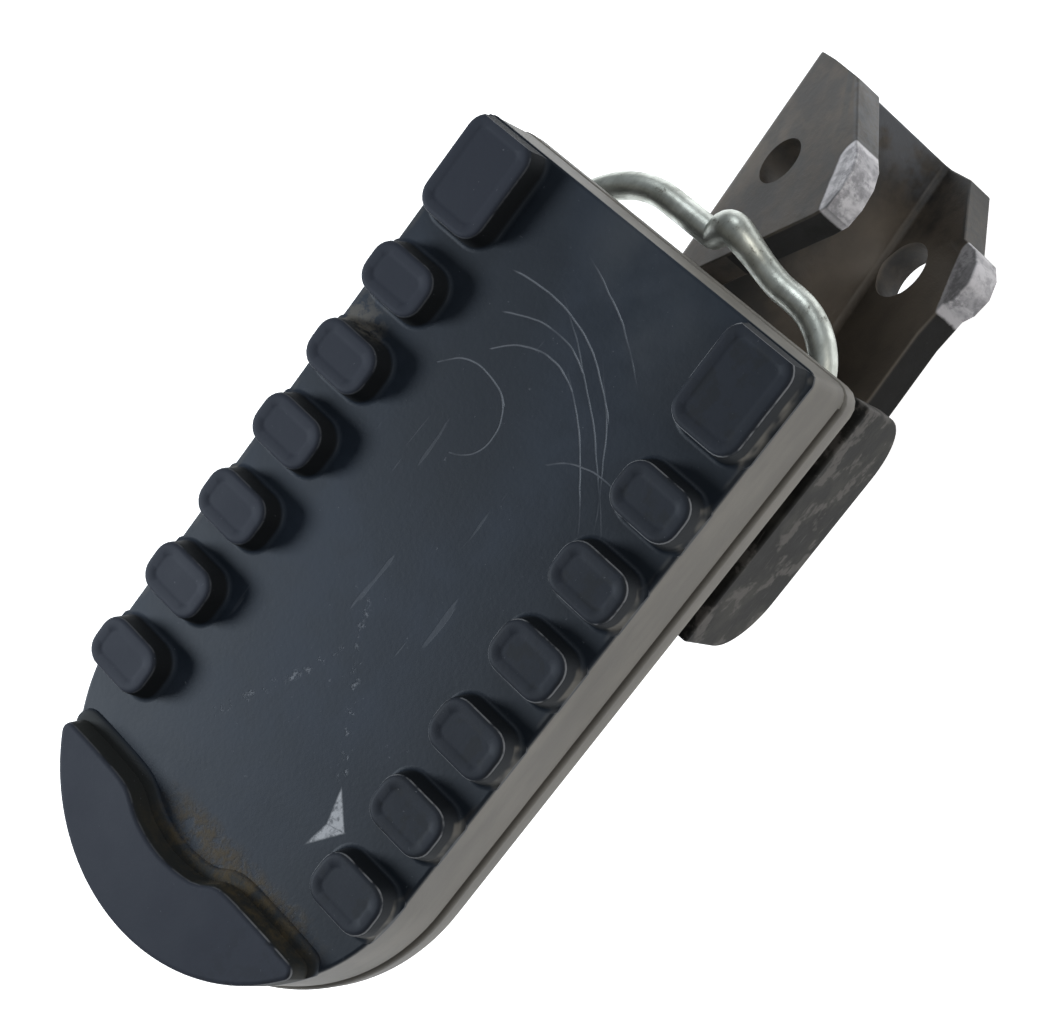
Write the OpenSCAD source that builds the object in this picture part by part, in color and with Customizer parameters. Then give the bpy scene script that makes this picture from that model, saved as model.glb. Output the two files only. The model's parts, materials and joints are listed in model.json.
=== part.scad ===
// Motorcycle foot peg: a steel platform on an inclined clevis channel, a
// rubber pad with raised tread blocks, and the wire clip that holds the pad.
// Origin: centre of the pivot bore in the upper ear. +X runs outboard along
// the peg, +Z is the pad's upward normal. Units are millimetres.

/* [Rubber pad] */
// Half of the pad's width at its top face
pad_half_w = 31; // [30.5:0.5:34]
// Length from the inboard edge to the rounded tip
pad_len = 122.5; // [112:0.5:130]
// Height of the side wall above the groove
wall_h = 10.2; // [8:0.1:12]
// Height of the groove in the side wall
groove_h = 0.7; // [0.4:0.1:1.2]
// Depth of the groove in the side wall
groove_d = 1.4; // [0.8:0.1:2]
// Height of the lip below the groove
lip_h = 4.1; // [3:0.1:5]
// How far the lip stands out beyond the top edge
lip_out = 2; // [1.5:0.1:2.5]
// Height of the tread blocks above the pad's top face
block_h = 4.2; // [3:0.1:5]
// Spacing of the small blocks along the pad
block_pitch = 13.6; // [12:0.1:14]
// Distance from the inboard edge to the first small block's centre
block_start = 25.8; // [24:0.1:27]
// Number of small blocks on each side
block_count = 6; // [4:1:6]
// Length of a small block along the pad
block_len = 8.6; // [7:0.1:9.5]
// Width of a small block across the pad
block_w = 12.6; // [10:0.1:13]
// Length of a corner block along the pad
corner_len = 17.6; // [15:0.1:18]
// Width of a corner block across the pad
corner_w = 13; // [11:0.1:14]
// Half angle of the crescent bumper at the tip
bumper_angle = 60; // [50:1:65]

/* [Steel platform] */
// Thickness of the platform plate
plate_t = 3.6; // [3:0.1:4]
// Thickness of the steel core under the rubber
core_t = 2.5; // [2:0.1:3]
// Thickness of the side plate, the gusset and the rib
web_t = 3; // [2.5:0.1:3.5]
// Length of the side plate along the peg
side_len = 41; // [36:0.5:46]
// Height of the side plate below the platform
side_h = 19.8; // [18:0.1:22]
// Radius of the side plate's lower corners
side_r = 9; // [5:0.5:9.5]

/* [Clevis channel] */
// Tilt of the pivot axis from the pad's normal, towards -Y
pivot_tilt = 37; // [33:0.5:42]
// Sweep of the pivot axis along the peg
pivot_sweep = 4; // [3:0.5:5]
// Thickness of the channel's steel
ear_t = 5; // [4.5:0.1:5.5]
// Inner gap between the two ears
ear_gap = 23.3; // [22:0.1:24]
// Radius of the pivot bore in the upper ear
bore_r_upper = 4.05; // [4:0.01:4.2]
// Radius of the pivot bore in the lower ear
bore_r_lower = 5.05; // [5:0.01:5.2]
// Angle of the channel's web to the peg in the ears' plane
web_angle = 13; // [12:0.5:14]
// Outer radius of the channel's bends
bend_r = 2.6; // [2:0.1:8]

/* [Retaining clip] */
// Radius of the clip's wire
wire_r = 2.1; // [2:0.05:2.1]
// Radial clearance of the wire in the studs and the guides
wire_fit = 0.09; // [0.02:0.01:0.1]
// Distance between the clip's two legs
leg_span = 48.6; // [46:0.1:49]
// Radius of the clip's two corner bends
clip_bend_r = 12; // [10:0.1:12]
// Distance of the clip's cross run inboard of the pad's edge
clip_reach = 4.7; // [4.5:0.1:6]
// Distance from the pad's edge to the outboard ends of the legs
leg_end = 82; // [80:0.5:85]
// Radius of the locking studs
stud_r = 4; // [3.6:0.1:4]

/* [Hidden] */

$fn = 64;
eps = 0.05;             // thin gap between faces that are welded or bonded

// The pad's top face at the inboard edge, on its centreline
pad_x = 18.3;
pad_y = 6.3;
pad_z = 37.4;

// Heights below the pad's top face
lip_top = -wall_h - groove_h;
pad_bottom = lip_top - lip_h;
core_top = pad_bottom + core_t;
plate_top = pad_bottom - eps;
plate_bottom = plate_top - plate_t;
wire_z = plate_bottom - 0.4 - wire_r;

// Half widths of the outlines, which share one shape
wall_half_w = pad_half_w + lip_out / 2;
lip_half_w = pad_half_w + lip_out;
core_half_w = pad_half_w - 2;
plate_half_w = pad_half_w + 0.2;
tip_x = pad_len - pad_half_w;      // centre of the rounded tip
plate_inboard = 1.5;               // the plates start a little outboard

// Pivot frame: w along the bore axis, u outboard and v across the ears
w_top = ear_t / 2;
w_bottom = -ear_t / 2 - ear_gap - ear_t;
w_low_bore = -ear_gap - ear_t;
web_corner = [-16.57, -14.7];      // outer corner of the web at the pivot end
bend_in_r = 0.5;

// Clip and studs, measured from the pad's edge and centreline
clip_y = 1;
leg_ys = [clip_y - leg_span / 2, clip_y + leg_span / 2];
stud_xs = [30, 74];
stud_bottom = wire_z - wire_r - 1.9;
guide_x = 8.5;
guide_len = 5.5;
ball_out = 0.03;        // the kink's balls stand a little proud of its runs

rubber = [0.16, 0.18, 0.21];
dark_steel = [0.13, 0.12, 0.11];
scuffed_steel = [0.25, 0.25, 0.25];
zinc = [0.66, 0.70, 0.64];
weld_grey = [0.2, 0.2, 0.2];

module at_pad() translate([pad_x, pad_y, pad_z]) children();

module at_pivot() rotate([pivot_tilt, 0, 0]) rotate([0, -pivot_sweep, 0]) children();

// Straight sides that end in a half circle at the tip
module peg_outline(half_w, x0) {
  translate([x0, -half_w]) square([tip_x - x0, 2 * half_w]);
  tip_half_disc(half_w);
}

module tip_half_disc(half_w) translate([tip_x, 0]) difference() {
  circle(r = half_w, $fn = 128);
  translate([-2 * half_w, -half_w - 1]) square([2 * half_w - eps, 2 * half_w + 2]);
}

module slab(half_w, x0, z0, z1) {
  translate([0, 0, z0]) linear_extrude(z1 - z0) peg_outline(half_w, x0);
}

module rounded_rect(len_x, len_y, r) {
  square([len_x - 2 * r, len_y], center = true);
  square([len_x, len_y - 2 * r], center = true);
  for (sx = [-1, 1], sy = [-1, 1])
    translate([sx * (len_x / 2 - r), sy * (len_y / 2 - r)]) circle(r = r, $fn = 32);
}

module tread_blocks(side) {
  corner_x = corner_len / 2 - 0.6;
  translate([corner_x, side * (wall_half_w - 0.2 - corner_w / 2), -1])
    linear_extrude(block_h + 1) rounded_rect(corner_len, corner_w, 2.6);
  for (i = [0 : block_count - 1])
    translate([block_start + i * block_pitch, side * (pad_half_w - block_w / 2), -1])
      linear_extrude(block_h + 1) rounded_rect(block_len, block_w, 3.4);
}

// Crescent at the tip: the end of the outline less a wavy inner edge
module bumper() {
  inner_x = 106.2;
  difference() {
    translate([0, 0, -1]) linear_extrude(block_h + 1) tip_half_disc(pad_half_w);
    translate([0, 0, -2]) linear_extrude(block_h + 4) union() {
      translate([0, -pad_half_w - 5]) square([inner_x, 2 * pad_half_w + 10]);
      translate([inner_x - 11.8, 0]) circle(r = 16);
    }
    for (s = [-1, 1]) rotate_about_tip(s * bumper_angle)
      translate([tip_x, s > 0 ? 0 : -60, -2]) cube([60, 60, block_h + 4]);
  }
}

module rotate_about_tip(angle) {
  translate([tip_x, 0, 0]) rotate([0, 0, angle]) translate([-tip_x, 0, 0]) children();
}

module rubber_pad() color(rubber) at_pad() {
  difference() {
    union() {
      slab(wall_half_w, 0, -wall_h, 0);
      slab(wall_half_w - groove_d, 0, lip_top - eps, -wall_h + eps);
      slab(lip_half_w, -0.4, pad_bottom, lip_top);
      translate([0, -wall_half_w, lip_top - eps])
        cube([3, 2 * wall_half_w, groove_h + 2 * eps]);
      intersection() {
        union() {
          tread_blocks(-1);
          tread_blocks(1);
          bumper();
        }
        slab(wall_half_w, 0, -2, block_h);
      }
    }
    slab(core_half_w, 3, pad_bottom - 1, core_top);
  }
}

module pad_core_plate() color(dark_steel) at_pad()
  slab(core_half_w - eps, 3 + eps, pad_bottom, core_top - eps);

// Turned stud with a cross hole for the clip's leg
module locking_stud(x, y) color(zinc) at_pad() translate([x, y, 0]) difference() {
  union() {
    translate([0, 0, stud_bottom + 1]) cylinder(r = stud_r, h = pad_bottom - eps - stud_bottom - 1);
    translate([0, 0, stud_bottom]) cylinder(r1 = stud_r - 1, r2 = stud_r, h = 1);
  }
  translate([-stud_r - 1, 0, wire_z]) rotate([0, 90, 0])
    cylinder(r = wire_r + wire_fit, h = 2 * stud_r + 2, $fn = 48);
}

module platform_plate() color(dark_steel) at_pad() difference() {
  slab(plate_half_w, plate_inboard, plate_bottom, plate_top);
  for (x = stud_xs, y = leg_ys)
    translate([x, y, plate_bottom - 1]) cylinder(r = stud_r + 0.25, h = plate_t + 2);
}

// Plate on edge in the XZ plane, with its lower corners rounded
module side_plate() color(scuffed_steel) at_pad() {
  top = plate_bottom - eps;
  translate([0.3, lip_half_w, 0]) rotate([90, 0, 0]) linear_extrude(web_t) {
    translate([0, top - side_h + side_r]) square([side_len, side_h - side_r]);
    translate([side_r, top - side_h]) square([side_len - 2 * side_r, side_r + eps]);
    for (x = [side_r, side_len - side_r])
      translate([x, top - side_h + side_r]) circle(r = side_r);
  }
}

// Everything below a plane of the pivot frame, used to seat a plate on an ear
module below_plane(w) translate([-pad_x, -pad_y, -pad_z]) at_pivot()
  translate([-100, -100, w - 200]) cube([250, 200, 200]);

module gusset_plate() color(dark_steel) at_pad() difference() {
  translate([3.2, -10.4, plate_bottom - eps - 26]) cube([24, web_t, 26]);
  below_plane(w_top + eps);
}

// Everything behind the web's inner face, raised by a gap
module behind_web(gap) translate([-pad_x, -pad_y, -pad_z]) at_pivot()
  translate([web_corner[0], web_corner[1], -100]) rotate([0, 0, web_angle])
    translate([-100, ear_t + gap - 200, 0]) cube([300, 200, 200]);

// Long rib that tapers outboard, seated in the channel on its web
module center_rib() color(dark_steel) at_pad() difference() {
  translate([0, 8, 0]) rotate([90, 0, 0]) linear_extrude(web_t) polygon([
    [16, plate_bottom - eps], [88, plate_bottom - eps], [88, plate_bottom - 3],
    [70, plate_bottom - 9], [36, -39], [30, -60], [16, -60]
  ]);
  behind_web(eps);
}

// Section of the channel, in the plane square to the web: p across, w up
module channel_section() {
  arm = 60;
  difference() {
    bent_block(arm, w_top - w_bottom, bend_r);
    translate([ear_t, ear_t]) bent_block(arm, ear_gap, bend_in_r);
  }
}

// Rectangle whose two corners on the left are rounded
module bent_block(len_p, len_w, r) {
  translate([r, 0]) square([len_p - r, len_w]);
  translate([0, r]) square([r + eps, len_w - 2 * r]);
  for (w = [r, len_w - r]) translate([r, w]) circle(r = r);
}

upper_ear = [
  [-16.5, -20], [-16.2, 1.5], [-8.7, 13.6], [-7.4, 16], [-5, 18.1], [-1.8, 19.3],
  [1.2, 19.4], [3.4, 17.8], [9, 12.4], [15.2, 6.6], [29, -6.4], [29, -20]
];
lower_ear = [
  [-17.2, -22], [-17.2, -2.2], [-9.4, 7.6], [-9, 12], [-7.4, 14.6], [-4.6, 16.4],
  [-1.4, 16.2], [0.4, 14.9], [6, 14.9], [17.8, 17], [52, 17.6], [60, 15.6],
  [64, 10], [64, -22]
];
web_reach = [[-16.9, -24], [-16.9, 24], [46, 24], [58, -24]];

// One flat of the bent channel: what lies between two heights and in an outline
module channel_slice(outline, w0, w1) intersection() {
  translate([web_corner[0], web_corner[1], w_bottom]) rotate([0, 0, web_angle])
    translate([-20, 0, 0]) rotate([90, 0, 90]) linear_extrude(120) channel_section();
  translate([0, 0, w0]) linear_extrude(w1 - w0) polygon(outline);
}

module clevis_upper_ear() color(dark_steel) at_pivot() difference() {
  channel_slice(upper_ear, -w_top, w_top + 1);
  translate([0, 0, -w_top - 1]) cylinder(r = bore_r_upper, h = ear_t + 2, $fn = 96);
}

module clevis_lower_ear() color(dark_steel) at_pivot() difference() {
  channel_slice(lower_ear, w_bottom - 1, w_low_bore + w_top);
  translate([0, 0, w_bottom - 1]) cylinder(r = bore_r_lower, h = ear_t + 2, $fn = 96);
}

module clevis_web() color(dark_steel) at_pivot()
  channel_slice(web_reach, w_low_bore + w_top + eps, -w_top - eps);

// Small block with a bore, welded under the platform
module clip_guide(y) color(dark_steel) at_pad() difference() {
  translate([guide_x, y - wire_r - 1.8, wire_z - wire_r - 1.6])
    cube([guide_len, 2 * wire_r + 3.6, 2 * wire_r + 2 - eps]);
  translate([guide_x - 1, y, wire_z]) rotate([0, 90, 0])
    cylinder(r = wire_r + wire_fit, h = guide_len + 2, $fn = 48);
}

// A straight run of wire with a ball at its far end
module wire_run(a, b) {
  d = b - a;
  run = norm(d);
  translate(a) rotate([0, acos(d[2] / run), atan2(d[1], d[0])]) cylinder(r = wire_r, h = run, $fn = 24);
  translate(b) sphere(r = wire_r + ball_out, $fn = 24);
}

kink = [
  [-clip_reach, clip_y - 4.4, 0], [-clip_reach - 0.6, clip_y - 2.6, 0.8],
  [-clip_reach - 2.4, clip_y - 0.6, 3.2], [-clip_reach - 2.3, clip_y + 1.6, 3],
  [-clip_reach - 1, clip_y + 5, 1], [-clip_reach, clip_y + 9, 0]
];

module clip_corner(side) {
  translate([clip_bend_r - clip_reach, clip_y + side * (leg_span / 2 - clip_bend_r), 0])
    rotate([0, 0, side > 0 ? 90 : 180])
      rotate_extrude(angle = 90) translate([clip_bend_r, 0]) circle(r = wire_r, $fn = 32);
}

module retaining_clip() color(zinc) at_pad() translate([0, 0, wire_z]) {
  for (y = leg_ys) {
    translate([clip_bend_r - clip_reach, y, 0]) rotate([0, 90, 0])
      cylinder(r = wire_r, h = leg_end - clip_bend_r + clip_reach, $fn = 48);
    translate([leg_end, y, 0]) rotate([0, 90, 0])
      cylinder(r1 = wire_r, r2 = wire_r - 0.9, h = 1.5, $fn = 48);
  }
  clip_corner(-1);
  clip_corner(1);
  wire_run([-clip_reach, leg_ys[0] + clip_bend_r, 0], kink[0]);
  for (i = [1 : len(kink) - 1]) wire_run(kink[i - 1], kink[i]);
  wire_run(kink[len(kink) - 1], [-clip_reach, leg_ys[1] - clip_bend_r, 0]);
}

// Fillet along X in the corner under the platform; side says which way it faces
module bead(x, y, len_x, leg, side) {
  translate([x, y, plate_bottom - eps]) rotate([90, 0, 90]) linear_extrude(len_x)
    polygon([[side * eps, 0], [side * leg, 0], [side * leg * 0.55, -leg * 0.55], [side * eps, -leg]]);
}

module weld_side_plate() color(weld_grey) at_pad()
  bead(15, lip_half_w - web_t, 10, 2, -1);

module weld_gusset() color(weld_grey) at_pad() {
  bead(6, -10.4 + web_t, 19, 2.6, 1);
  bead(6, -10.4, 19, 2.6, -1);
}

module weld_rib() color(weld_grey) at_pad() {
  bead(40, 8, 20, 2.6, 1);
  bead(40, 8 - web_t, 20, 2.6, -1);
}

// Fillets where the gusset stands on the upper ear, on both of its faces
module weld_channel() color(weld_grey) at_pad() difference() {
  translate([5, -10.4 - 2.4, plate_bottom - 24]) cube([19, web_t + 4.8, 24]);
  below_plane(w_top + eps);
  translate([-pad_x, -pad_y, -pad_z]) at_pivot()
    translate([-100, -100, w_top + 2.2]) cube([250, 200, 60]);
  translate([0, -10.4 - eps, -80]) cube([60, web_t + 2 * eps, 80]);
}

rubber_pad();
pad_core_plate();
locking_stud(stud_xs[0], leg_ys[0]);  // locking_stud_1
locking_stud(stud_xs[1], leg_ys[0]);  // locking_stud_2
locking_stud(stud_xs[0], leg_ys[1]);  // locking_stud_3
locking_stud(stud_xs[1], leg_ys[1]);  // locking_stud_4
platform_plate();
side_plate();
gusset_plate();
center_rib();
clevis_upper_ear();
clevis_lower_ear();
clevis_web();
clip_guide(leg_ys[0]);  // clip_guide_left
clip_guide(leg_ys[1]);  // clip_guide_right
retaining_clip();
weld_side_plate();
weld_gusset();
weld_rib();
weld_channel();
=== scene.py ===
import json
import math

import bpy
from mathutils import Matrix, Vector


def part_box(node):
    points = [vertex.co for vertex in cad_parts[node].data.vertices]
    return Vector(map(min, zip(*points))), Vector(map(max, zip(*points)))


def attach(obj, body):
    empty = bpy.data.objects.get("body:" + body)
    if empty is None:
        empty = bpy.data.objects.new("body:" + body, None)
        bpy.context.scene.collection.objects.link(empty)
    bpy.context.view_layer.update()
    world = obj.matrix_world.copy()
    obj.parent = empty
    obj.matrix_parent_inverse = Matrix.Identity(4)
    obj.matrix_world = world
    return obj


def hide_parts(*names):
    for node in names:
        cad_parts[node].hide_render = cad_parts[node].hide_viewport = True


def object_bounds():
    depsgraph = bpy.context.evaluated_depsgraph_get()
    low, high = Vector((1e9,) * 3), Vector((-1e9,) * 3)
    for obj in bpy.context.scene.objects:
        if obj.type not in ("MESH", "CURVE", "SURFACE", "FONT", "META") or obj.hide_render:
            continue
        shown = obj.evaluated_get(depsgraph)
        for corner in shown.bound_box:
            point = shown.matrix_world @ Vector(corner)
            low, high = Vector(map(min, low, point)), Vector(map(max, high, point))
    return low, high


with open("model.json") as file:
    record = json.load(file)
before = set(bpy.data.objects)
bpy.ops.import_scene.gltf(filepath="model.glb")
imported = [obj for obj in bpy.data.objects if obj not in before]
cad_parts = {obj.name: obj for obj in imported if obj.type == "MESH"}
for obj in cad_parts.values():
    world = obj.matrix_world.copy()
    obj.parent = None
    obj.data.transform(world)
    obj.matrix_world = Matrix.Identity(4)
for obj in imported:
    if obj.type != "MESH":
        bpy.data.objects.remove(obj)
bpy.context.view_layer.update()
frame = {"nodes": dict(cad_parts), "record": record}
mm = 0.001

padLow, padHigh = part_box("rubber_pad")
lipFront = 0.4  # the lip's inboard end stands this far in front of the top edge
lipOut = 2  # and its sides and outboard end this far outside it
blockRise = 4.2
padOrigin = Vector((padLow.x + lipFront * mm, (padLow.y + padHigh.y) / 2, padHigh.z - blockRise * mm))
padLength = (padHigh.x - padOrigin.x) / mm - lipOut
padBottom = (padLow.z - padOrigin.z) / mm
pivotTilt, pivotSweep = math.radians(37), math.radians(4)


# Modelling tools. Lengths passed to them are in millimetres.
def clearSelection():
    if bpy.context.object and bpy.context.object.mode != "OBJECT":
        bpy.ops.object.mode_set(mode="OBJECT")
    bpy.ops.object.select_all(action="DESELECT")


def pick(piece):
    clearSelection()
    piece.select_set(True)
    bpy.context.view_layer.objects.active = piece


def flatFace(name, corners, place):  # place turns a corner (a, b) into a point in mm
    clearSelection()
    bpy.ops.mesh.primitive_circle_add(vertices=len(corners), radius=0.01, fill_type="NGON")
    piece = bpy.context.object
    piece.name = piece.data.name = name
    for vertex, corner in zip(piece.data.vertices, corners):
        vertex.co = Vector(place(*corner)) * mm
    return piece


def editFaces(piece, wanted):  # edit mode with only the faces that pass the test selected
    pick(piece)
    bpy.ops.object.mode_set(mode="EDIT")
    bpy.ops.mesh.select_mode(type="FACE")
    bpy.ops.mesh.select_all(action="DESELECT")
    bpy.ops.object.mode_set(mode="OBJECT")
    for face in piece.data.polygons:
        face.select = wanted(face.center / mm, face.normal)
    bpy.ops.object.mode_set(mode="EDIT")


def leaveEdit(fixNormals=False):
    if fixNormals:
        bpy.ops.mesh.select_all(action="SELECT")
        bpy.ops.mesh.normals_make_consistent(inside=False)
    bpy.ops.object.mode_set(mode="OBJECT")


def mergePoints(piece, apart):
    pick(piece)
    bpy.ops.object.mode_set(mode="EDIT")
    bpy.ops.mesh.select_all(action="SELECT")
    bpy.ops.mesh.remove_doubles(threshold=apart * mm)


def extrudeBy(shift):
    bpy.ops.mesh.extrude_region_move(TRANSFORM_OT_translate={"value": Vector(shift) * mm})


def insetSteps(steps):  # each step goes inwards and then outwards along the face, in mm
    for inwards, rise in steps:
        if inwards:
            bpy.ops.mesh.inset(thickness=inwards * mm, depth=rise * mm, use_even_offset=True)
        else:
            extrudeBy((0, 0, rise))


def boolean(piece, other, operation):
    pick(piece)
    cut = piece.modifiers.new("cut", "BOOLEAN")
    cut.operation, cut.object, cut.solver = operation, other, "EXACT"
    bpy.ops.object.modifier_apply(modifier=cut.name)
    bpy.data.objects.remove(other)


def joined(pieces):
    clearSelection()
    for piece in pieces:
        piece.select_set(True)
    bpy.context.view_layer.objects.active = pieces[0]
    bpy.ops.object.join()
    return pieces[0]


def softEdges(piece, width):
    pick(piece)
    bevel = piece.modifiers.new("softEdges", "BEVEL")
    bevel.width, bevel.segments, bevel.limit_method = width * mm, 3, "ANGLE"
    bevel.angle_limit = math.radians(40)
    bevel.use_clamp_overlap = False
    bpy.ops.object.modifier_apply(modifier=bevel.name)


def smoothShade(piece, angle):  # big flat faces keep their own direction
    pick(piece)
    bpy.ops.object.shade_smooth_by_angle(angle=math.radians(angle))
    even = piece.modifiers.new("even", "WEIGHTED_NORMAL")
    even.weight, even.keep_sharp = 100, True
    bpy.ops.object.modifier_apply(modifier=even.name)


def progress(value, start, stop):  # 0 at start and 1 at stop, either way round
    return max(0, min(1, (value - start) / (stop - start)))


def moveInto(piece, shift):
    piece.data.transform(Matrix.Translation(shift))


def circlePoint(centreX, centreY, radius, degrees):
    angle = math.radians(degrees)
    return centreX + radius * math.cos(angle), centreY + radius * math.sin(angle)


def roundedRect(length, width, radius, perCorner=7):
    return [circlePoint(sx * (length / 2 - radius), sy * (width / 2 - radius), radius,
                        90 * turn + 90 * step / perCorner)
            for turn, (sx, sy) in enumerate(((1, 1), (-1, 1), (-1, -1), (1, -1)))
            for step in range(perCorner + 1)]


def curveThrough(points, perSpan):  # a smooth open line through the points
    line = []
    for i in range(len(points) - 1):
        p0, p1 = points[max(i - 1, 0)], points[i]
        p2, p3 = points[i + 1], points[min(i + 2, len(points) - 1)]
        for step in range(perSpan):
            t = step / perSpan
            line.append(tuple(0.5 * (2 * b + (c - a) * t + (2 * a - 5 * b + 4 * c - d) * t * t
                                     + (3 * b - a - 3 * c + d) * t ** 3)
                              for a, b, c, d in zip(p0, p1, p2, p3)))
    line.append(tuple(points[-1]))
    return line


# Finishes. Their points are in millimetres too.
class Signal:  # a value on its way through a finish's nodes
    def __init__(self, finish, socket):
        self.finish, self.socket = finish, socket

    def __add__(self, other):
        return self.finish.maths("ADD", self, other)

    def __radd__(self, other):
        return self.finish.maths("ADD", other, self)

    def __sub__(self, other):
        return self.finish.maths("SUBTRACT", self, other)

    def __rsub__(self, other):
        return self.finish.maths("SUBTRACT", other, self)

    def __mul__(self, other):
        return self.finish.maths("MULTIPLY", self, other)

    def __rmul__(self, other):
        return self.finish.maths("MULTIPLY", other, self)

    def __truediv__(self, other):
        return self.finish.maths("DIVIDE", self, other)

    def __pow__(self, other):
        return self.finish.maths("POWER", self, other)

    def __abs__(self):
        return self.finish.maths("ABSOLUTE", self)


class Finish:  # one material and the nodes in it
    def __init__(self, name, origin=(0, 0, 0), turn=(0, 0, 0)):
        self.material = bpy.data.materials.new(name)
        self.material.use_nodes = True
        self.nodes, self.links = self.material.node_tree.nodes, self.material.node_tree.links
        self.nodes.clear()
        local = self.node("TexCoord", out="Object")
        self.point = self.node("Mapping", {}, {"Vector": local, "Scale": (1000, 1000, 1000), "Rotation": turn,
                                               "Location": [-c / mm for c in origin]})
        self.x, self.y, self.z = self.axes(self.point)

    def node(self, kind, settings=None, values=None, out=0):
        made = self.nodes.new("ShaderNode" + kind)
        for name, value in (settings or {}).items():
            setattr(made, name, value)
        for name, value in (values or {}).items():
            if isinstance(value, Signal):
                self.links.new(value.socket, made.inputs[name])
            else:
                made.inputs[name].default_value = value
        return Signal(self, made.outputs[out])

    def axes(self, point):
        return [self.node("SeparateXYZ", {}, {"Vector": point}, out=axis) for axis in "XYZ"]

    def maths(self, operation, *values):
        return self.node("Math", {"operation": operation}, dict(enumerate(values)))

    def highest(self, values):
        top = values[0]
        for value in values[1:]:
            top = self.maths("MAXIMUM", top, value)
        return top

    def fade(self, value, start, stop):  # 0 at start and 1 at stop, either way round
        return self.node("MapRange", {"interpolation_type": "SMOOTHSTEP"},
                         {"Value": value, "From Min": start, "From Max": stop})

    def between(self, value, low, high, soft):
        return self.fade(value, low - soft, low + soft) * self.fade(value, high + soft, high - soft)

    def noise(self, size, detail=3, roughness=0.55, stretch=(1, 1, 1), offset=0):  # size is in mm
        at = self.node("Mapping", {}, {"Vector": self.point, "Location": (offset, offset * 0.7, -offset),
                                       "Scale": stretch})
        return self.node("TexNoise", {}, {"Vector": at, "Scale": 1 / size, "Detail": detail,
                                          "Roughness": roughness})

    def distance(self, a, b, centre):  # from the point (a, b) to a fixed one
        return self.maths("SQRT", (a - centre[0]) ** 2 + (b - centre[1]) ** 2)

    def tint(self, share, base, over):
        colours = [(*colour, 1) if isinstance(colour, tuple) else colour for colour in (base, over)]
        return self.node("Mix", {"data_type": "RGBA"}, {0: share, 6: colours[0], 7: colours[1]}, out=2)

    def toSegment(self, a, b, start, stop):  # from the point (a, b) to the nearest point of a line
        da, db = stop[0] - start[0], stop[1] - start[1]
        along = (a - start[0]) * (da / (da * da + db * db)) + (b - start[1]) * (db / (da * da + db * db))
        along = self.node("Clamp", {}, {"Value": along})
        return self.maths("SQRT", (a - start[0] - along * da) ** 2 + (b - start[1] - along * db) ** 2)

    def triangle(self, a, b, one, two, three, soft):  # 1 inside three corners, given anticlockwise
        inside = None
        for start, stop in ((one, two), (two, three), (three, one)):
            da, db = stop[0] - start[0], stop[1] - start[1]
            span = math.hypot(da, db)
            side = (b - start[1]) * (da / span) - (a - start[0]) * (db / span)
            side = self.fade(side, -soft, soft)
            inside = side if inside is None else inside * side
        return inside

    def shade(self, colour, roughness, metallic=0.0, height=None, depth=0.02, **fixed):
        values = {"Base Color": (*colour, 1) if isinstance(colour, tuple) else colour,
                  "Roughness": roughness, "Metallic": metallic}
        values.update({name.replace("_", " "): value for name, value in fixed.items()})
        if height is not None:
            values["Normal"] = self.node("Bump", {}, {"Height": height, "Strength": 1.0,
                                                      "Distance": depth * mm})
        surface = self.node("BsdfPrincipled", {}, values)
        end = self.nodes.new("ShaderNodeOutputMaterial")
        self.links.new(surface.socket, end.inputs["Surface"])
        return self.material


def arcThrough(a, b, c):  # centre and radius of the circle through three points
    d = 2 * (a[0] * (b[1] - c[1]) + b[0] * (c[1] - a[1]) + c[0] * (a[1] - b[1]))
    squares = [p[0] ** 2 + p[1] ** 2 for p in (a, b, c)]
    x = (squares[0] * (b[1] - c[1]) + squares[1] * (c[1] - a[1]) + squares[2] * (a[1] - b[1])) / d
    y = (squares[0] * (c[0] - b[0]) + squares[1] * (a[0] - c[0]) + squares[2] * (b[0] - a[0])) / d
    return x, y, math.hypot(a[0] - x, a[1] - y)


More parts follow.
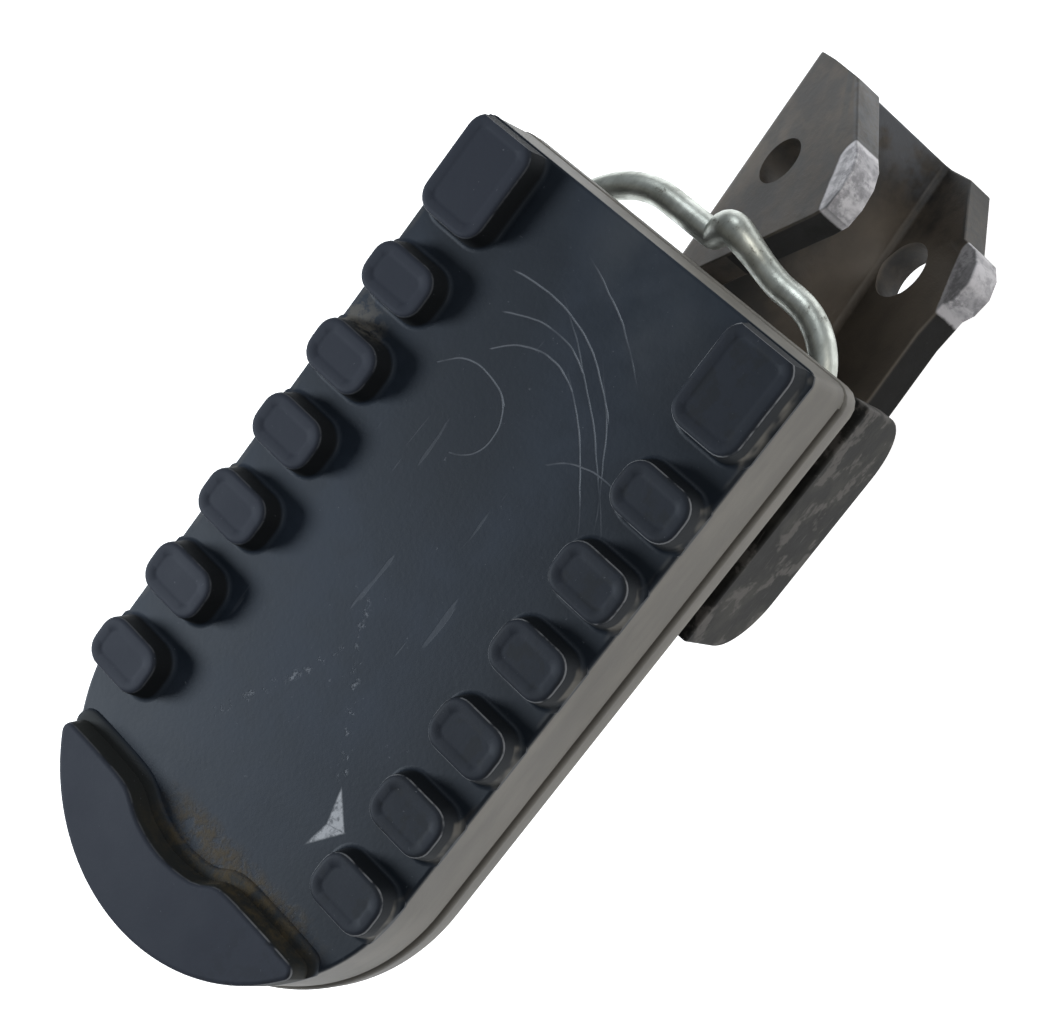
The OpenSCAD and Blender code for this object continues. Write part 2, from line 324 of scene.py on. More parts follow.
rubberLook = {
    "top": (0.0045, 0.0085, 0.0155),
    "topWorn": (0.013, 0.019, 0.030),
    "blockTop": (0.015, 0.0175, 0.0265),
    "blockWall": (0.0055, 0.0062, 0.0072),
    "bumperWallLit": (0.020, 0.021, 0.019),
    "rimHighlightTone": (0.20, 0.205, 0.215),
    # painted reflection: the light warm grey of the side walls
    "side": (0.150, 0.138, 0.118),
    "darkTone": (0.0022, 0.0038, 0.0065),
    "lighterPatch": (0.026, 0.030, 0.036),
    "dirt": (0.075, 0.055, 0.026),
    "deposit": (0.085, 0.078, 0.066),
    "scratch": (0.15, 0.16, 0.18),
    "scuffed": (0.36, 0.37, 0.39),
    "scratches": [  # three points on each arc, in mm from the inboard edge and the centreline
        ((20.2, -10.7), (17.7, -3.0), (19.3, 4.5)),
        ((19.3, 4.5), (23.4, 9.8), (28.7, 15.7)),
        ((24.4, -8.2), (21.0, -2.5), (22.3, 5.0)),
        ((22.3, 5.0), (27.5, 11.1), (31.5, 14.7)),
        ((14.9, -12.8), (15.2, 0.3), (20.2, 9.6)),
        ((20.2, 9.6), (24.6, 13.4), (28.6, 16.3)),
        ((31.6, -14.5), (28.0, -8.6), (28.8, -3.7)),
        ((28.8, -3.7), (34.7, -0.5), (38.9, -2.6)),
        ((32.2, 8.3), (28.6, 14.0), (29.0, 20.1)),
        ((7.8, -2.2), (10.7, 4.2), (13.8, 9.2)),
    ],
    "marks": [((92.6, -10.5), (70.7, 1.1)), ((63.4, -1.1), (84.5, 12.7))],
    "scuff": [((85.3, 13.5), (90.4, 15.0), (89.5, 17.9)), ((90.4, 15.0), (94.6, 14.3), (89.5, 17.9))],
    # the painted shadow on the top lies along this line
    "shadowAlong": ((8, -18), (38, -4)),
    "lighterPatchAlong": ((1, 0), (10, 13)),
    "lighterPatchTip": (82, 104),
    "bumperFrom": (100, 103),
    "darkerFromY": (6, 22),
    "dirtX": (102.6, 109.5),
    "dirtY": (-6, 24),
    "depositAt": (36.5, -29),
}


def rubberScratches(f):  # the curved scratches, the two dotted marks and the fine hairlines
    x, y = f.x, f.y
    wobble = f.noise(9, 2, offset=3) * 1.2 - 0.6
    broken = f.fade(f.noise(6, 3, offset=43), 0.34, 0.58)
    arcs = []
    for a, b, c in rubberLook["scratches"]:
        cx, cy, radius = arcThrough(a, b, c)
        off = abs(f.distance(x, y, (cx, cy)) - radius + wobble)
        middle = Vector((b[0] - cx, b[1] - cy)).normalized()
        reach = min(Vector((p[0] - cx, p[1] - cy)).normalized().dot(middle) for p in (a, c))
        facing = ((x - cx) * middle.x + (y - cy) * middle.y) / radius
        arcs.append(f.fade(off, 0.2, 0.04) * f.fade(facing, reach - 0.015, reach + 0.015))
    scratched = f.highest(arcs) * (0.25 + 0.75 * broken)
    marks = [f.fade(f.toSegment(x, y, start, stop), 1.1, 0.2)
             * f.fade(f.noise(1.3, 4, 0.7, offset=start[0]), 0.55, 0.68)
             for start, stop in rubberLook["marks"]]
    hair = f.fade(f.noise(2.2, 2, 0.5, stretch=(0.12, 1, 1), offset=71), 0.69, 0.72)
    hair = hair * f.fade(abs(y), 20, 16) * 0.25
    return f.highest([scratched, *marks, hair])


def rubberFinish():
    look = rubberLook
    f = Finish("mouldedRubber", padOrigin)
    x, y, z = f.x, f.y, f.z
    broad, patches, grain = f.noise(22, 4), f.noise(5, 4, offset=13), f.noise(0.7, 2, offset=31)
    onTop = f.fade(z, 3.55, 4.05)
    onWall = f.fade(z, 0.15, 0.8) * (1 - onTop)
    onSide = f.fade(z, -0.15, -0.9)
    onFlat = f.between(z, -0.3, 0.25, 0.1)

    colour = f.tint(f.fade(broad * 0.6 + patches * 0.4, 0.38, 0.66), look["top"], look["topWorn"])
    # painted shadow: a dark band on the top beside the inboard block on the -y side, where its shadow falls
    paintedShade = f.fade(f.toSegment(x, y, *look["shadowAlong"]), 17, 4) * (0.5 + broad)
    colour = f.tint(paintedShade * 0.55, colour, look["darkTone"])
    # lighter, bluer patches on the top near the inboard end and towards the tip, broken up by noise
    lighterPatch = f.fade(f.toSegment(x, y, *look["lighterPatchAlong"]), 11, 3) + f.fade(x, *look["lighterPatchTip"]) * 0.5
    colour = f.tint(lighterPatch * f.fade(broad, 0.3, 0.6) * 0.75, colour, look["lighterPatch"])

    colour = f.tint(onWall, colour, look["blockWall"])
    # painted light: the bumper's walls are tinted lighter than the other walls, against their shade
    colour = f.tint(onWall * f.fade(x, *look["bumperFrom"]) * 0.8, colour, look["bumperWallLit"])
    colour = f.tint(onTop * (0.8 + 0.3 * patches), colour, look["blockTop"])
    # the top gets darker and a little glossier towards the +y side, in patches, fading out at the bumper
    darkerToSide = f.fade(y, *look["darkerFromY"]) * (0.35 + 0.5 * patches) * f.fade(x, 108, 100)
    colour = f.tint(darkerToSide * 0.9, colour, look["darkTone"])
    dents = f.fade(f.noise(2.6, 3, 0.55, offset=83), 0.50, 0.62) * f.fade(z, 4.25, 4.0)
    colour = f.tint(dents * onTop * f.fade(y, 12, 18) * 0.6, colour, look["blockWall"])
    # painted highlight: a thin light line along the rounded top edges of the blocks, strongest on the +y row
    rimHighlight = f.between(z, 3.68, 3.92, 0.07) * f.fade(f.noise(3, 3, offset=61), 0.34, 0.54)
    colour = f.tint(rimHighlight * (0.2 + 0.55 * f.fade(y, 8, 20)), colour, look["rimHighlightTone"])

    crescentHighlight = f.fade(abs(y), 30.2, 30.7) * f.between(z, 0.1, 1.6, 0.3)  # painted highlight: pale crescents where the walls meet the side
    colour = f.tint(crescentHighlight * f.fade(f.noise(5, 2, offset=91), 0.42, 0.6) * 0.6, colour, look["side"])
    # painted reflection: the pad's side walls are tinted light warm grey for the bright floor they face, varied
    # by streaks and partly by real worn lines
    sideStreaks = f.noise(9, 3, stretch=(0.25, 1, 2), offset=5)
    sideWorn = f.fade(f.noise(7, 4, 0.6, stretch=(0.3, 1, 1), offset=15), 0.42, 0.62)
    colour = f.tint(onSide * (0.62 + 0.35 * sideStreaks + 0.15 * sideWorn), colour, look["side"])

    scratched = rubberScratches(f) * onFlat
    colour = f.tint(scratched * 0.5, colour, look["scratch"])
    dust = f.fade(f.noise(0.8, 3, 0.7, offset=97), 0.68, 0.74) * f.fade(patches, 0.4, 0.6)
    colour = f.tint(dust * (1 - onSide) * 0.35, colour, look["scratch"])
    scuffed = f.highest([f.triangle(x, y, *corners, 0.2) for corners in look["scuff"]])
    scuffed = scuffed * onFlat * (0.35 + 0.65 * f.fade(f.noise(1.0, 4, 0.7, offset=7), 0.35, 0.55))
    colour = f.tint(scuffed * 0.85, colour, look["scuffed"])

    dirt = f.between(x + f.noise(4, 3, offset=3) * 3 - 1.5, *look["dirtX"], 1.6)
    dirt = dirt * f.between(y, *look["dirtY"], 6)
    dirt = dirt * f.fade(f.noise(2.6, 5, 0.7, offset=17), 0.38, 0.66)
    dirt = dirt * f.fade(z, 3.9, 2.4) * f.fade(z, -0.5, 0.0)
    colour = f.tint(dirt * 0.65, colour, look["dirt"])
    deposit = f.fade(f.distance(x, y, look["depositAt"]), 8, 3) * f.fade(z, 3.6, 2.2)
    deposit = deposit * f.fade(f.noise(1.8, 4, 0.65, offset=23), 0.42, 0.6) * f.fade(z, -1.2, -0.2)
    colour = f.tint(deposit * 0.8, colour, look["deposit"])

    roughness = 0.46 - 0.08 * darkerToSide + 0.14 * broad + 0.1 * patches + 0.12 * onTop + 0.2 * onWall
    roughness = roughness - 0.1 * scratched + 0.2 * dirt
    height = grain * 0.5 + patches * 0.4 - scratched * 1.5 + dirt * f.noise(0.6, 3) * 3
    return f.shade(colour, roughness, height=height, depth=0.035, Specular_IOR_Level=0.3,
                   Specular_Tint=(0.86, 0.93, 1.0, 1))


zincLook = {"bright": (0.66, 0.69, 0.64), "dull": (0.44, 0.46, 0.42), "dark": (0.16, 0.155, 0.135)}


def zincFinish():
    f = Finish("zincPlate", padOrigin)
    streaks = f.noise(1.6, 4, 0.6, stretch=(0.15, 1, 1))
    blotches, spots = f.noise(3.5, 4, offset=9), f.noise(0.8, 3, 0.7, offset=19)
    colour = f.tint(f.fade(blotches * 0.6 + streaks * 0.4, 0.36, 0.62), zincLook["bright"], zincLook["dull"])
    grime = f.fade(spots * 0.5 + blotches * 0.5, 0.56, 0.68)
    colour = f.tint(grime * 0.8, colour, zincLook["dark"])
    roughness = 0.3 + 0.22 * streaks + 0.25 * grime
    return f.shade(colour, roughness, 0.9 - 0.35 * grime, height=streaks + spots * 0.6, depth=0.05)


clevisLook = {
    "paint": (0.0165, 0.014, 0.0115),
    "brown": (0.060, 0.047, 0.034),
    "bare": (0.52, 0.505, 0.52),
    "bareDull": (0.22, 0.215, 0.225),
    "rubbed": (0.062, 0.065, 0.070),
    "rubbedLow": (0.030, 0.030, 0.029),
    "bluishSheen": (0.070, 0.077, 0.090),
    "dusty": (0.085, 0.078, 0.070),
    "warmLit": (0.135, 0.112, 0.088),
    "deepShade": (0.0025, 0.0025, 0.0025),
    "upperPatch": ((-6.9, 15.4), (-0.4, 19.8)),
    "lowerPatch": ((-8.6, 11.6), (-0.4, 16.6)),
    "upperShade": [((1.6, 19.6), (15.2, 6.6))],
    "lowerShade": [((0.8, 14.9), (6, 14.9)), ((6, 14.9), (17.8, 17)), ((17.8, 17), (40, 17.4))],
    "strips": [((-16.2, 1.5), (-8.7, 13.6)), ((-17.2, -2.2), (-9.4, 7.6))],
}


def clevisFinish():
    look = clevisLook
    f = Finish("wornPaintedSteel", turn=(-pivotTilt, 0, 0))
    turned = f.node("Mapping", {}, {"Vector": f.point, "Rotation": (0, pivotSweep, 0)})
    u, v, w = f.axes(turned)  # outboard, across and along the pivot, from its upper bore
    broad, patches, specks = f.noise(14, 4), f.noise(3.4, 4, 0.6, offset=11), f.noise(0.9, 3, 0.65, offset=27)
    colour = f.tint(f.fade(broad * 0.55 + patches * 0.45, 0.40, 0.62), look["paint"], look["brown"])
    dust = f.fade(f.noise(6, 5, 0.62, stretch=(1, 0.35, 1), offset=41), 0.5, 0.7)
    colour = f.tint(dust * 0.45, colour, look["dusty"])
    # painted sheen: a bluish light patch on the web's inner face near the inboard end, with lower roughness
    bluishSheen = f.fade(u, -7, -14) * f.between(w, -25.0, -3.0, 1.2) * f.fade(f.noise(5, 3, offset=67), 0.38, 0.6)
    colour = f.tint(bluishSheen * 0.8, colour, look["bluishSheen"])
    # painted shade: the inside of the clevis under the pad and bands along the ears' lower edges are painted
    # near black
    paintedShade = [f.fade(u, -2, 4) * f.between(w, -40, -2.7, 0.3) * f.fade(w, -15, -6)]
    for bands, low, high in ((look["upperShade"], -3.2, 2.2), (look["lowerShade"], -31.2, -26.1)):
        paintedShade += [f.fade(f.toSegment(u, v, *band), 0.7, 0.4) * f.between(w, low, high, 0.2) for band in bands]
    deepShade = f.highest(paintedShade)
    colour = f.tint(deepShade * 0.95, colour, look["deepShade"])
    # painted light: a warm brown lit patch on the lower part of the web's inner face, mottled by noise
    inner = f.fade(w, -11, -19) * f.fade(w, -26.6, -25.6) * f.fade(u, -9, -2) * (0.3 + 0.9 * broad)
    colour = f.tint(inner * 0.85, colour, look["warmLit"])
    ragged = patches * 0.6 + specks * 0.4
    scored = f.fade(f.noise(2.4, 3, 0.6, stretch=(1, 1, 0.4), offset=77), 0.44, 0.6)
    bare, rim = 0, 0
    for patch, onEar in ((look["upperPatch"], f.fade(w, -3.2, -2.6)),
                         (look["lowerPatch"], f.fade(w, -25.4, -26.0))):
        reach = f.toSegment(u, v, *patch) + ragged * 0.8 - 0.4
        bare = f.fade(reach, 3.0, 2.5) * onEar + bare
        rim = f.fade(reach, 1.4, 2.2) * onEar + rim
    worn = f.maths("MINIMUM", f.fade(ragged, 0.40, 0.58) * (0.45 + 0.55 * scored) + rim * 0.6, 1)
    metal = f.tint(worn, look["bareDull"], look["bare"])
    flecks = f.fade(f.noise(1.4, 5, 0.75, offset=53), 0.66, 0.74)
    colour = f.tint(flecks * 0.7, colour, look["rubbed"])
    for line, rubbed in zip(look["strips"], ("rubbed", "rubbedLow")):
        strip = f.fade(f.toSegment(u, v, *line), 0.9, 0.4) * f.fade(ragged, 0.36, 0.6)
        colour = f.tint(strip * 0.9, colour, look[rubbed])
    colour = f.tint(bare, colour, metal)
    roughness = 0.44 + 0.2 * patches + 0.15 * dust - 0.1 * bare - 0.12 * bluishSheen + 0.3 * deepShade
    height = patches + specks * 0.5 - bare * 1.2 + dust * 0.6
    return f.shade(colour, roughness, bare * 0.35, height=height, depth=0.06)


sideLook = {"paint": (0.027, 0.026, 0.022), "dark": (0.005, 0.005, 0.0045), "scuffed": (0.115, 0.105, 0.098)}


def sideFinish():
    f = Finish("scuffedGreyPaint", padOrigin)
    broad, patches, specks = f.noise(9, 4), f.noise(5.5, 3, 0.6, offset=15), f.noise(0.9, 3, 0.7, offset=29)
    colour = f.tint(f.fade(broad * 0.5 + patches * 0.5, 0.42, 0.6), sideLook["dark"], sideLook["paint"])
    rubbed = f.fade(patches * 0.8 + specks * 0.2, 0.53, 0.6)
    lines = f.fade(f.noise(1.2, 3, 0.6, stretch=(0.2, 1, 1.4), offset=37), 0.64, 0.72)
    rubbed = f.highest([rubbed * 0.45, lines * 0.25])
    colour = f.tint(rubbed, colour, sideLook["scuffed"])
    return f.shade(colour, 0.58 + 0.2 * patches - 0.1 * rubbed, rubbed * 0.2, height=patches + specks * 0.6,
                   depth=0.05, Specular_IOR_Level=0.22)


blackLook = {"paint": (0.016, 0.016, 0.018), "worn": (0.045, 0.042, 0.038), "rust": (0.075, 0.036, 0.018)}


def blackFinish():
    f = Finish("blackPaint", padOrigin)
    broad, patches, orange = f.noise(16, 4), f.noise(3, 4, 0.6, offset=21), f.noise(0.5, 2, offset=33)
    colour = f.tint(f.fade(broad * 0.5 + patches * 0.5, 0.45, 0.65), blackLook["paint"], blackLook["worn"])
    rust = f.fade(f.noise(2, 5, 0.75, offset=45), 0.66, 0.74)
    colour = f.tint(rust * 0.7, colour, blackLook["rust"])
    return f.shade(colour, 0.42 + 0.25 * patches + 0.2 * rust, height=orange + rust, depth=0.03)


def weldFinish():
    f = Finish("paintedWeld", padOrigin)
    ripples = f.node("TexWave", {"wave_type": "BANDS", "bands_direction": "X"},
                     {"Vector": f.point, "Scale": 0.22, "Distortion": 2.5, "Detail": 2, "Detail Scale": 1.2},
                     out="Fac")
    rough = f.noise(1.2, 4, 0.65)
    colour = f.tint(f.fade(rough, 0.4, 0.65), blackLook["paint"], blackLook["worn"])
    return f.shade(colour, 0.45 + 0.3 * rough, height=ripples * 2 + rough, depth=0.12)


finishes = {"rubber": rubberFinish(), "zinc": zincFinish(), "dark_steel": clevisFinish(),
            "side_steel": sideFinish(), "hidden_steel": blackFinish(), "weld": weldFinish()}
print("finishes made")


def settle(piece, name, body, slot, *nodes):
    piece.name = piece.data.name = name
    piece.data.materials.clear()
    piece.data.materials.append(finishes[slot])
    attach(piece, body)
    if nodes:
        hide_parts(*nodes)
    print(name, "made with", len(piece.data.polygons), "faces")


# The rubber pad is modelled upwards from its lip.
padShape = {
    "lipHalfWidth": 33,
    "cornerRadius": 3.0,
    "grooveFrom": 2.7,
    "grooveBand": (4.0, 4.9),
    "grooveDepth": 1.3,
    "walls": [(0, 3.1), (0.25, 0.35), (0.35, 0.2), (0, 0.75), (0.95, 9.6), (0.1, 0.3), (0.2, 0.2), (0.3, 0.1)],
    "recess": (3.4, -2.6),
    "lowerEdge": 0.4,
    "frontDraft": 0.3,
    "drawnIn": [(padBottom + 3.5, padBottom + 4.05, 0.6), (-10.2, -0.6, 0.95), (-0.6, 0, 0.6)],  # from, to, by
    "blockX": [25.85, 39.3, 52.6, 66.2, 79.8, 93.8],
    "blockY": 25.2,
    "block": (10.6, 14.2, 4.3),
    "cornerBlock": (18.7, 14.3, 4.4),
    "cornerAt": (7.9, 24.7),
    "rooted": 0.6,  # how deep the raised shapes start below the pad's top
    "boss": [(0, 0.6), (0.5, 0.15), (0.25, 0.3), (0.1, 0.5), (0.35, 2.5), (0.1, 0.3), (0.15, 0.22), (0.3, 0.15),
             (0.3, 0.03)],
    "relief": [(0.9, 0), (0.2, -0.12), (0.5, 0)],
    "bumper": [(105.55, -24.96), (105.5, -18), (105.9, -11.5), (108.2, -6.5), (109.2, -1), (108.4, 5),
               (105.9, 9.4), (105.5, 17), (105.55, 24.96)],
    "ledge": [(0, 0.6), (0.15, 0.3), (0.3, 0.2), (0.6, 0.12), (0.6, 0.03)],
    "ledgeReach": 1.2,
    "bumperRim": 32.6,
    "bumperEnd": 2.6,
    "trim": (31.6, 0.25, 1.0),  # the outline that cuts the raised shapes off level with the side wall
    "trimSteps": [(0, 0.8), (0.4, 5)],
}
tipX = padLength - (padShape["lipHalfWidth"] - lipOut)


def padOutline(halfWidth, front, corner):  # two corners, two straight sides and the round tip, anticlockwise
    firstX = front + corner
    sideX = [firstX] + [px for px in (1.4, 6, 14, 26, 39, 52, 65, 78) if px > firstX + 0.2]
    turned = [circlePoint(firstX, halfWidth - corner, corner, a) for a in (112.5, 135, 157.5, 180)]
    points = [(px, -py) for px, py in reversed(turned)]
    points += [(px, -halfWidth) for px in sideX]
    points += [circlePoint(tipX, 0, halfWidth, -90 + 180 * k / 64) for k in range(65)]
    points += [(px, halfWidth) for px in reversed(sideX)]
    points += turned
    points += [(front, halfWidth * k / 5) for k in (3, 0, -3)]
    return points


def bumperOutline(reach):  # the rim's arc, a rounded end, the wavy inner edge and the other rounded end
    rim, end = padShape["bumperRim"], padShape["bumperEnd"]
    wave = [(px - reach, py) for px, py in padShape["bumper"]]
    endX, endY = wave[0][0] + end, wave[-1][1]
    lean = math.degrees(math.atan2(endY, endX - tipX))
    ended = [circlePoint(endX, endY, end, lean + (180 - lean) * k / 8) for k in range(1, 8)]
    points = [circlePoint(tipX, 0, rim, -lean + 2 * lean * k / 44) for k in range(45)]
    points += ended + curveThrough(list(reversed(wave)), 4)
    return points + [(px, -py) for px, py in reversed(ended)]


def boss(name, outline, steps, relief=()):  # sunk into the pad, then raised and drawn in by the steps
    piece = flatFace(name, outline, lambda a, b: (a, b, -padShape["rooted"]))
    editFaces(piece, lambda c, n: True)
    insetSteps(steps)
    insetSteps(relief)
    leaveEdit(True)
    return piece


def makePad():
    shape = padShape
    pad = flatFace("rubberPad", padOutline(shape["lipHalfWidth"], -lipFront, shape["cornerRadius"]),
                   lambda a, b: (a, b, padBottom + shape["lowerEdge"]))
    editFaces(pad, lambda c, n: True)
    insetSteps(shape["walls"])
    leaveEdit(True)
    editFaces(pad, lambda c, n: n.z < -0.9)  # round the lower edge, then sink the recess for the core plate
    bpy.ops.mesh.inset(thickness=shape["lowerEdge"] * mm, depth=shape["lowerEdge"] * mm)
    bpy.ops.mesh.inset(thickness=(shape["recess"][0] - shape["lowerEdge"]) * mm, depth=0)
    bpy.ops.mesh.inset(thickness=0.02 * mm, depth=shape["recess"][1] * mm)
    leaveEdit()
    for vertex in pad.data.vertices:  # the inboard end has less draft than the sides
        height = vertex.co.z / mm
        if height > padBottom + 3:
            drawnIn = sum(progress(height, low, high) * inset for low, high, inset in shape["drawnIn"])
            near = progress(vertex.co.x / mm, 5, 1.5)
            vertex.co.x -= (1 - shape["frontDraft"]) * drawnIn * near * mm
    bandLow, bandHigh = (padBottom + edge for edge in shape["grooveBand"])
    editFaces(pad, lambda c, n: bandLow < c.z < bandHigh and abs(n.z) < 0.1 and c.x > shape["grooveFrom"])
    bpy.ops.mesh.extrude_region_shrink_fatten(TRANSFORM_OT_shrink_fatten={"value": -shape["grooveDepth"] * mm})
    leaveEdit(True)
    print("pad body shaped")

    small = boss("block", roundedRect(*shape["block"]), shape["boss"], shape["relief"])
    corner = boss("cornerBlock", roundedRect(*shape["cornerBlock"]), shape["boss"], shape["relief"])
    blocks = []
    for side in (-1, 1):
        places = [(corner, *shape["cornerAt"])] + [(small, px, shape["blockY"]) for px in shape["blockX"]]
        for original, px, py in places:
            copy = original.copy()
            copy.data = original.data.copy()
            bpy.context.scene.collection.objects.link(copy)
            moveInto(copy, Vector((px, side * py, 0)) * mm)
            blocks.append(copy)
    bpy.data.objects.remove(small)
    bpy.data.objects.remove(corner)
    bumper = boss("bumper", bumperOutline(0), shape["boss"])
    boolean(bumper, boss("ledge", bumperOutline(shape["ledgeReach"]), shape["ledge"]), "UNION")
    blocks.append(bumper)
    blocks = joined(blocks)
    trim = flatFace("trim", padOutline(*shape["trim"]), lambda a, b: (a, b, -shape["rooted"] - 0.02))
    editFaces(trim, lambda c, n: True)
    insetSteps(shape["trimSteps"])
    leaveEdit(True)
    boolean(blocks, trim, "INTERSECT")
    boolean(pad, blocks, "UNION")
    mergePoints(pad, 0.01)
    leaveEdit(True)
    smoothShade(pad, 40)
    moveInto(pad, padOrigin)
    settle(pad, "rubberPad", "peg", "rubber", "rubber_pad")


makePad()


clipShape = {
    "wireRadius": 2.1,
    "reach": 4.7,
    "legEnd": 82,
    "bend": 12,
    "centre": 1,
    "span": 48.6,
    "swelling": 0.14,  # the wire is a little thicker over its raised knuckle
    "knuckle": [(-4.7, -3.4, 0), (-5.0, -2.0, 0.35), (-6.6, -0.6, 2.3), (-7.35, 0.9, 3.2), (-6.9, 2.9, 2.55),
                (-6.2, 5.0, 1.3), (-5.3, 8.0, 0.3), (-4.8, 10.5, 0)],
}


def makeClip():
    shape = clipShape
    height = (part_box("retaining_clip")[0].z - padOrigin.z) / mm + shape["wireRadius"]
    half, bend = shape["span"] / 2, shape["bend"]
    left, right = shape["centre"] - half, shape["centre"] + half
    turnX = bend - shape["reach"]
    legX = [shape["legEnd"], 60, 30, turnX + 4]
    path = [(px, left, 0) for px in legX]
    path += [(*circlePoint(turnX, left + bend, bend, 270 - a), 0) for a in range(0, 91, 10)]
    path += shape["knuckle"]
    path += [(*circlePoint(turnX, right - bend, bend, 90 + a), 0) for a in range(90, -1, -10)]
    path += [(px, right, 0) for px in reversed(legX)]
    smooth = curveThrough(path, 5)
    clearSelection()
    bpy.ops.curve.primitive_nurbs_path_add()
    wire = bpy.context.object
    wire.data.splines.clear()
    spline = wire.data.splines.new("POLY")
    spline.points.add(len(smooth) - 1)
    for point, (px, py, pz) in zip(spline.points, smooth):
        point.co = (*(padOrigin + Vector((px, py, height + pz)) * mm), 1)
        point.radius = 1 + shape["swelling"] * progress(pz, 0.8, 2.8)
    wire.data.bevel_depth = shape["wireRadius"] * mm
    wire.data.bevel_resolution = 8
    wire.data.use_fill_caps = True
    pick(wire)
    bpy.ops.object.convert(target="MESH")
    wire = bpy.context.object
    endX = padOrigin.x / mm + shape["legEnd"]
    editFaces(wire, lambda c, n: n.x > 0.98 and c.x > endX - 0.5)  # the two legs' ends are rounded over
    bpy.ops.mesh.inset(thickness=0.5 * mm, depth=0.5 * mm)
    bpy.ops.mesh.inset(thickness=0.5 * mm, depth=0.3 * mm)
    leaveEdit(True)
    smoothShade(wire, 50)
    settle(wire, "retainingClip", "clip", "zinc", "retaining_clip")


makeClip()


# The clevis is one bent plate. It is modelled square to its pivot, drilled and then turned.
clevisShape = {
    "thick": 5,
    "gap": 23.3,
    "bendOut": 2.6,
    "bendIn": 1.2,
    "webCorner": (-16.57, -14.7),
    "webAngle": 13,
    "blank": (60, 120, 20),  # the bent bar that the outlines are cut from: width, length, start before the web
    "upper": [(-16.8, -22), (-16.8, -8), (-16.3, 1.5), (-8.7, 13.6), (-7.4, 16), (-5, 18.1), (-1.8, 19.3),
              (1.2, 19.4), (3.4, 17.8), (9, 12.4), (15.2, 6.6), (29, -6.4), (29, -22)],
    "web": [(-16.8, -30), (-16.8, 30), (46, 30), (58, -30)],
    "lower": [(-16.8, -24), (-16.8, -8), (-17.1, -2.2), (-9.4, 7.6), (-9, 12), (-7.4, 14.6), (-4.6, 16.4),
              (-1.4, 16.2), (0.4, 14.9), (6, 14.9), (17.8, 17), (52, 17.6), (60, 15.6), (64, 10), (64, -24)],
    "bores": [(4.05, 0), (5.05, -28.3)],
    "overlap": 1.4,  # the upper ear's outline reaches this far down into the web, which is wider there
    "edge": 0.3,
}


def prismBetween(name, outline, low, high):
    corners = list(reversed(outline))  # anticlockwise, so that the face looks up
    piece = flatFace(name, corners, lambda a, b: (a, b, low))
    editFaces(piece, lambda c, n: True)
    extrudeBy((0, 0, high - low))
    leaveEdit(True)
    return piece


def makeClevis():
    shape = clevisShape
    top, thick = shape["thick"] / 2, shape["thick"]
    bottom = -top - shape["gap"] - thick
    outer, inner = shape["bendOut"], shape["bendIn"]
    wide, long, before = shape["blank"]
    section = [(wide, bottom)]
    for cy, start in ((bottom + outer, -90), (top - outer, 180)):
        section += [circlePoint(outer, cy, outer, start - k * 9) for k in range(11)]
    section += [(wide, top), (wide, top - thick)]
    for cy, start in ((top - thick - inner, 90), (bottom + thick + inner, 180)):
        section += [circlePoint(thick + inner, cy, inner, start + k * 15) for k in range(7)]
    section += [(wide, bottom + thick)]
    angle = math.radians(shape["webAngle"])
    along = Vector((math.cos(angle), math.sin(angle), 0))
    across = Vector((-math.sin(angle), math.cos(angle), 0))
    corner = Vector((*shape["webCorner"], 0)) - along * before
    clevis = flatFace("clevis", section, lambda p, w: corner + across * p + Vector((0, 0, w)))
    editFaces(clevis, lambda c, n: True)
    extrudeBy(along * long)
    leaveEdit(True)
    envelope = prismBetween("upper", shape["upper"], -top - shape["overlap"], top + 6)
    boolean(envelope, prismBetween("middle", shape["web"], -top - shape["gap"], -top), "UNION")
    boolean(envelope, prismBetween("lower", shape["lower"], bottom - 6, -top - shape["gap"]), "UNION")
    boolean(clevis, envelope, "INTERSECT")
    mergePoints(clevis, 0.02)
    bpy.ops.mesh.dissolve_limited(angle_limit=math.radians(1))
    leaveEdit(True)
    softEdges(clevis, shape["edge"])
    for radius, height in shape["bores"]:
        clearSelection()
        bpy.ops.mesh.primitive_cylinder_add(vertices=72, radius=radius * mm, depth=(thick + 3) * mm,
                                            location=(0, 0, height * mm))
        drill = bpy.context.object
        pick(drill)
        bpy.ops.object.transform_apply(location=True)
        boolean(clevis, drill, "DIFFERENCE")
    smoothShade(clevis, 35)
    clevis.rotation_mode = "YXZ"
    clevis.rotation_euler = (pivotTilt, -pivotSweep, 0)
    pick(clevis)
    bpy.ops.object.transform_apply(location=False, rotation=True, scale=False)
    settle(clevis, "clevisChannel", "peg", "dark_steel", "clevis_upper_ear", "clevis_lower_ear", "clevis_web")


makeClevis()


plateShape = {"lowerCorners": 9, "edge": 0.5}


def makeSidePlate():
    low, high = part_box("side_plate")
    radius = plateShape["lowerCorners"] * mm
    clearSelection()
    bpy.ops.mesh.primitive_cube_add(size=1, location=(low + high) / 2, scale=high - low)
    plate = bpy.context.object
    bpy.ops.object.transform_apply(location=True, scale=True)
    bpy.ops.object.mode_set(mode="EDIT")
    bpy.ops.mesh.select_mode(type="EDGE")
    bpy.ops.mesh.select_all(action="DESELECT")
    bpy.ops.object.mode_set(mode="OBJECT")
    for edge in plate.data.edges:
        a, b = (plate.data.vertices[i].co for i in edge.vertices)
        edge.select = abs(a.y - b.y) > 1 * mm and max(a.z, b.z) < low.z + 1 * mm
    bpy.ops.object.mode_set(mode="EDIT")
    bpy.ops.mesh.bevel(offset=radius, segments=14)
    leaveEdit(True)
    softEdges(plate, plateShape["edge"])
    smoothShade(plate, 35)
    settle(plate, "sidePlate", "peg", "side_steel", "side_plate")


makeSidePlate()

slotOf = {part["node"]: part["material_slot"] for part in frame["record"]["subparts"]}
for name, node in frame["nodes"].items():
    if not node.hide_render:
        node.material_slots[0].material = finishes[slotOf[name]]
print("steel parts finished")


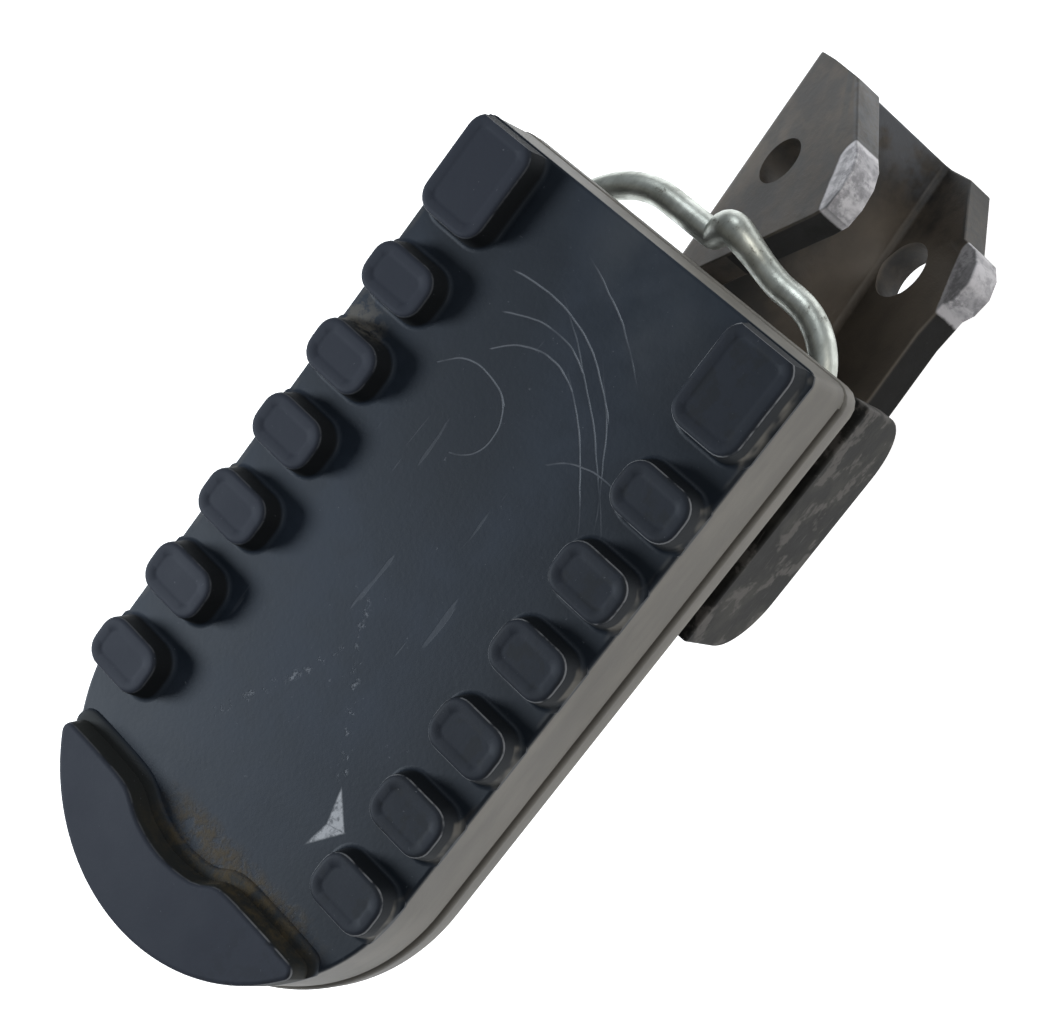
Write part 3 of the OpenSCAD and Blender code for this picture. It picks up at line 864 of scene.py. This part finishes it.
stageLook = {
    "floorSize": 6,  # metres
    "floorGap": 0.2,  # mm below the lowest point
    "floor": (0.90, 0.90, 0.90),
    "glow": 0.85,
    "world": (0.86, 0.93, 1.0),
    "worldStrength": 0.22,
    "target": (55, 0, 0),
    "lights": [  # place in mm from the pad, size in mm, power, colour
        ((330, -400, 330), 200, 3.6, (0.90, 0.95, 1.0)),
        ((-200, 420, 300), 260, 0.8, (1.0, 0.95, 0.88)),
        ((-420, -180, 380), 300, 0.8, (0.93, 0.97, 1.0)),
    ],
}


def makeStage():
    clearSelection()
    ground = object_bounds()[0].z - stageLook["floorGap"] * mm
    bpy.ops.mesh.primitive_plane_add(size=stageLook["floorSize"], location=(0.06, 0, ground))
    floor = bpy.context.object
    floor.name = "floor"
    f = Finish("paleFloor")
    floor.data.materials.append(f.shade(stageLook["floor"], 0.85, Emission_Color=(1, 1, 1, 1),
                                        Emission_Strength=stageLook["glow"]))
    world = bpy.data.worlds.new("studio")
    world.use_nodes = True
    back = world.node_tree.nodes["Background"]
    back.inputs["Color"].default_value = (*stageLook["world"], 1)
    back.inputs["Strength"].default_value = stageLook["worldStrength"]
    bpy.context.scene.world = world
    target = padOrigin + Vector(stageLook["target"]) * mm
    for place, size, power, colour in stageLook["lights"]:
        clearSelection()
        bpy.ops.object.light_add(type="AREA", location=padOrigin + Vector(place) * mm)
        light = bpy.context.object
        light.data.shape, light.data.size = "DISK", size * mm
        light.data.energy, light.data.color = power, colour
        light.rotation_euler = (target - light.location).to_track_quat("-Z", "Y").to_euler()


makeStage()

cameraPlace = {
    "from": (-19.18, 132.12, 264.27),  # mm from the pad's origin
    "right": (-0.5946, 0.6727, -0.4404),
    "down": (0.7799, 0.6158, -0.1122),
    "lens": 75.36,
}


def makeCamera():
    right = Vector(cameraPlace["right"]).normalized()
    down = Vector(cameraPlace["down"])
    down = (down - right * down.dot(right)).normalized()
    ahead = right.cross(down)
    clearSelection()
    bpy.ops.object.camera_add(location=padOrigin + Vector(cameraPlace["from"]) * mm)
    camera = bpy.context.object
    turn = Matrix((right, -down, -ahead)).transposed()
    camera.rotation_mode = "QUATERNION"
    camera.rotation_quaternion = turn.to_quaternion()
    camera.data.lens, camera.data.sensor_width = cameraPlace["lens"], 36
    camera.data.clip_start, camera.data.clip_end = 0.01, 20
    bpy.context.scene.camera = camera


makeCamera()
bpy.context.scene.view_settings.view_transform = "Standard"
print("stage set")
